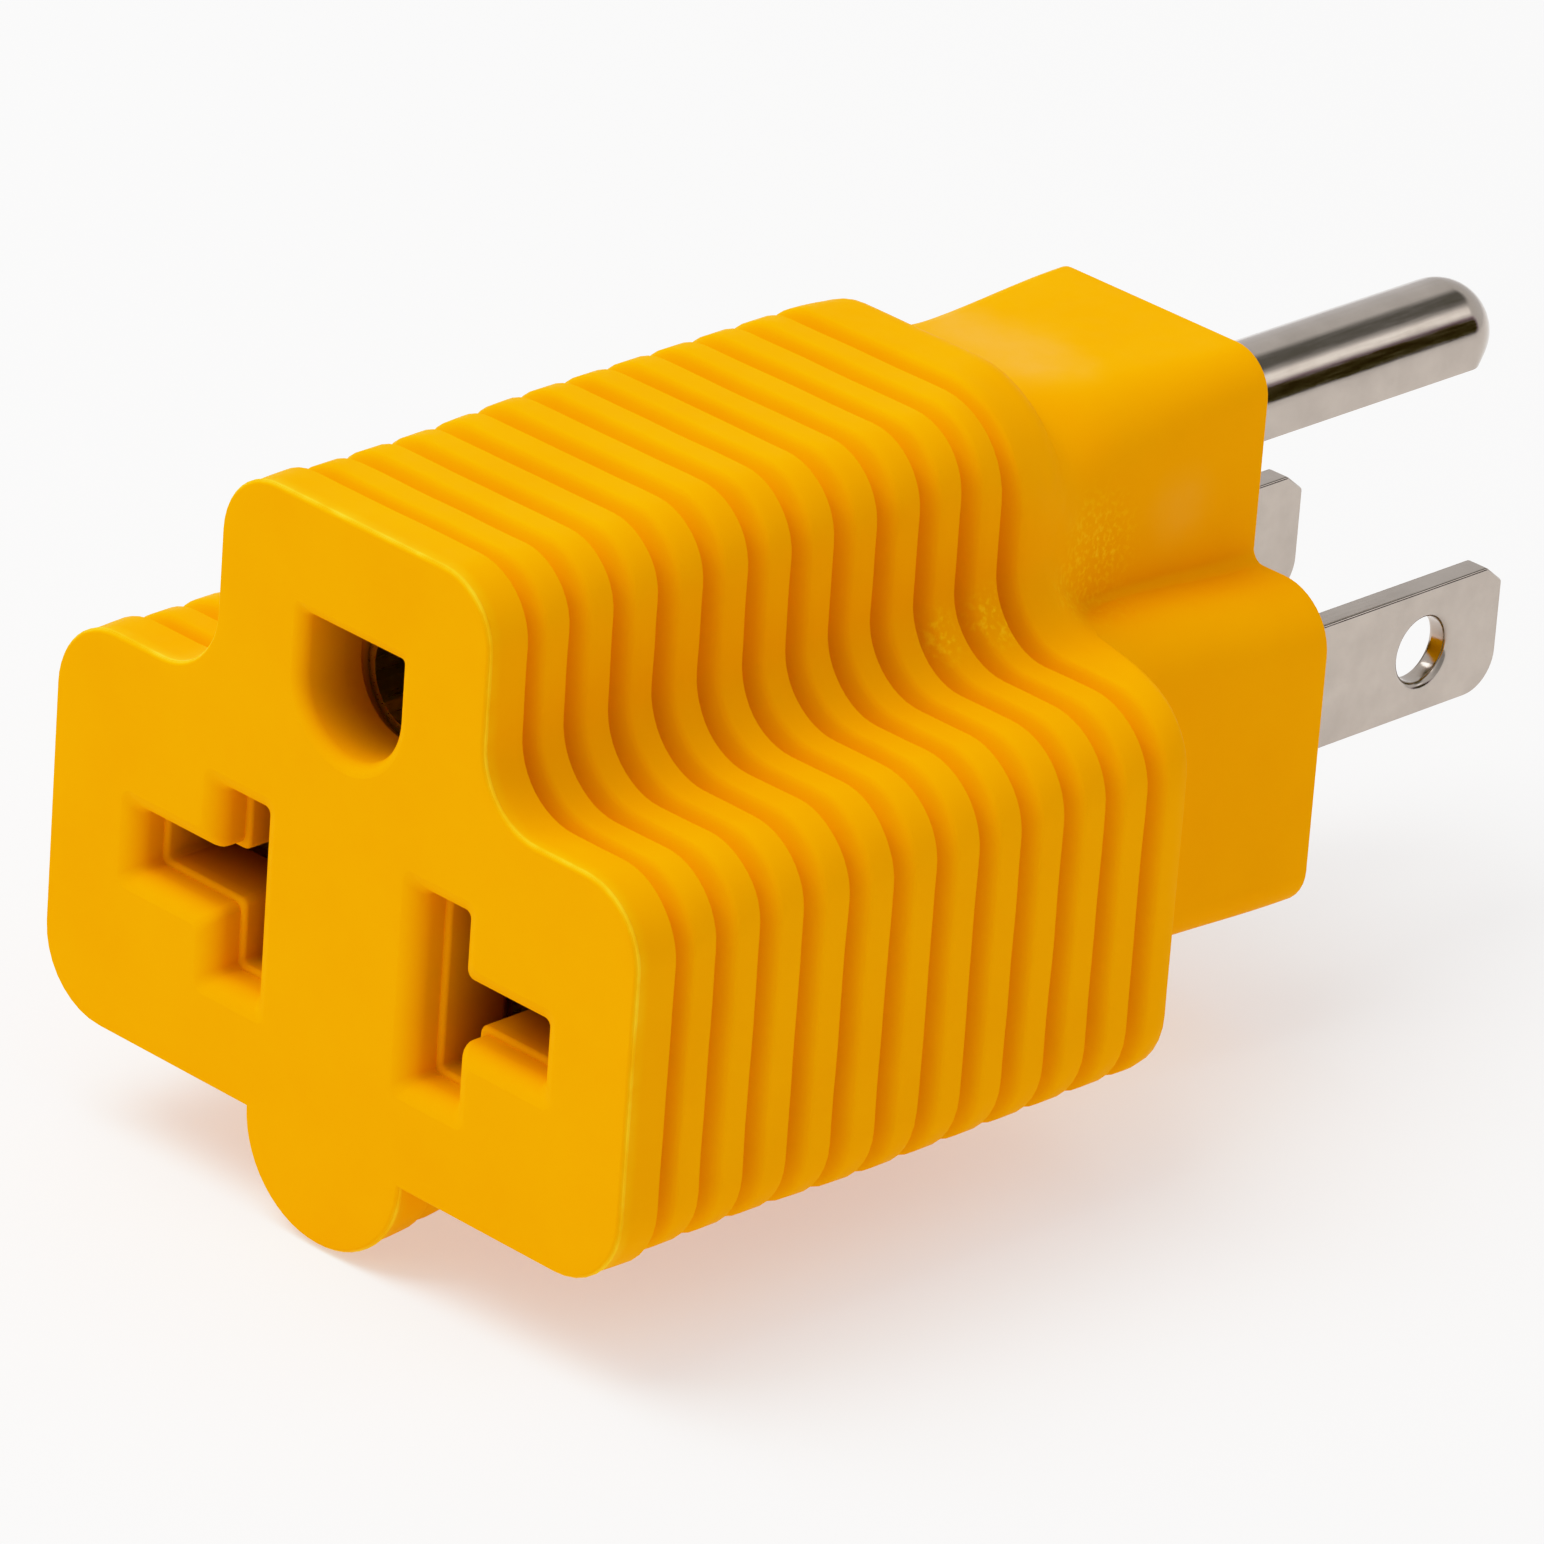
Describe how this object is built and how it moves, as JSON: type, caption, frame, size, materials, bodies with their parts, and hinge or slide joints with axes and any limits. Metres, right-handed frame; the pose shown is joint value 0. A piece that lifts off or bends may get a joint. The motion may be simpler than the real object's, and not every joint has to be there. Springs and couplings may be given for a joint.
{
  "type": "grounding plug adapter",
  "caption": "One-piece grounding plug adapter: flat-blade plug with ground pin at one end, T-slot socket with ground hole at the other, in a ribbed soft overmould.",
  "frame": {"origin": "middle of the plug's flat end face, midway between the two blades", "axes": "+Y along the blades towards their tips, +X across them, +Z towards the ground pin; the socket face looks towards -Y"},
  "size_m": [0.0368, 0.0716, 0.0344],
  "materials": {
    "jacket_pvc": "satin yellow flexible PVC overmould",
    "insert_plastic": "satin yellow rigid inner moulding",
    "plated_blade": "satin nickel plate on brass",
    "contact_brass": "stamped spring brass",
    "link_copper": "flat copper-alloy strap",
    "rivet_brass": "headed brass rivet"
  },
  "bodies": {
    "root": {"overmould_jacket": "jacket_pvc", "socket_cover": "insert_plastic", "contact_carrier": "insert_plastic", "blade_bridge": "insert_plastic", "hot_blade": "plated_blade", "hot_upright_clip": "contact_brass", "hot_level_clip": "contact_brass", "hot_link": "link_copper", "hot_contact_rivet": "rivet_brass", "hot_blade_rivet": "rivet_brass", "neutral_blade": "plated_blade", "neutral_upright_clip": "contact_brass", "neutral_level_clip": "contact_brass", "neutral_link": "link_copper", "neutral_contact_rivet": "rivet_brass", "neutral_blade_rivet": "rivet_brass", "ground_pin": "plated_blade", "ground_sleeve": "contact_brass", "ground_link": "link_copper", "sleeve_rivet": "rivet_brass", "pin_rivet": "rivet_brass"}
  },
  "joints": []
}
